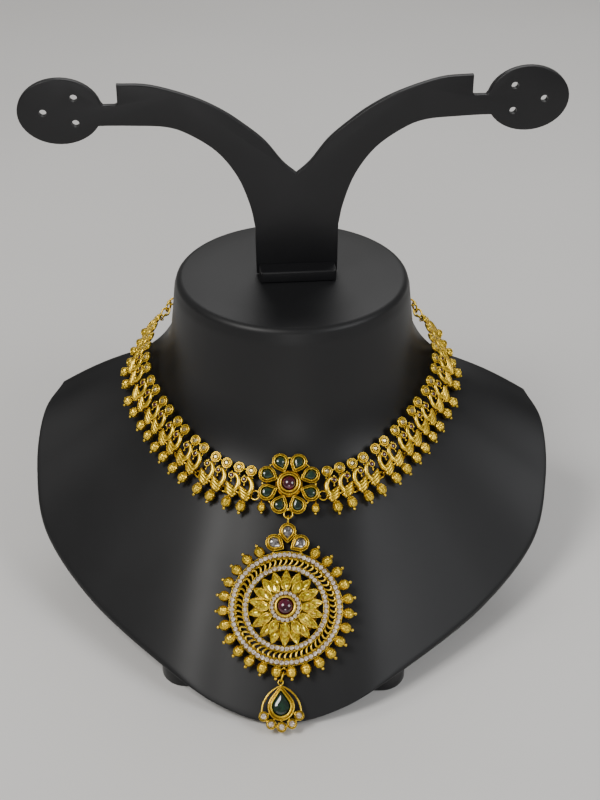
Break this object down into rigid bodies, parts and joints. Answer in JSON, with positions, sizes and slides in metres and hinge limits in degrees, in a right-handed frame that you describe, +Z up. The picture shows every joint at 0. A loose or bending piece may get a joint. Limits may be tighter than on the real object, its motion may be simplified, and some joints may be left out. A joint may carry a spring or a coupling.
{
  "type": "temple jewellery necklace on a neck bust with arms for earrings",
  "caption": "Gold peacock necklace with flower, pierced disc pendant and pear drop, on a black neck bust with a base and a forked stand for earrings.",
  "frame": {"origin": "on the underside of the base plate, below the middle of the neck", "axes": "+X to the viewer's right, +Y to the back of the neck, +Z up"},
  "size_m": [0.227, 0.2043, 0.2122],
  "materials": {
    "stand_black": "satin",
    "gold": "antique matte",
    "clear_stone": "cut",
    "ruby": "polished",
    "emerald": "polished"
  },
  "bodies": {
    "root": {"bust_body": "stand_black", "base_foot": "stand_black", "earring_stand": "stand_black", "link_left_1": "gold", "link_left_2": "gold", "link_left_3": "gold", "link_left_4": "gold", "link_left_5": "gold", "link_left_6": "gold", "link_left_7": "gold", "link_left_8": "gold", "link_left_9": "gold", "link_right_1": "gold", "link_right_2": "gold", "link_right_3": "gold", "link_right_4": "gold", "link_right_5": "gold", "link_right_6": "gold", "link_right_7": "gold", "link_right_8": "gold", "link_right_9": "gold", "link_stones": "clear_stone", "peacock_rubies": "ruby", "jump_rings": "gold", "flower_metal": "gold", "flower_emeralds": "emerald", "flower_ruby": "ruby", "pendant_metal": "gold", "pendant_pave": "clear_stone", "trefoil_stones": "clear_stone", "pendant_ruby": "ruby", "drop_ring": "gold", "drop_metal": "gold", "drop_emerald": "emerald", "drop_whites": "clear_stone", "chain_even": "gold", "chain_odd": "gold", "clasp": "gold"}
  },
  "joints": []
}
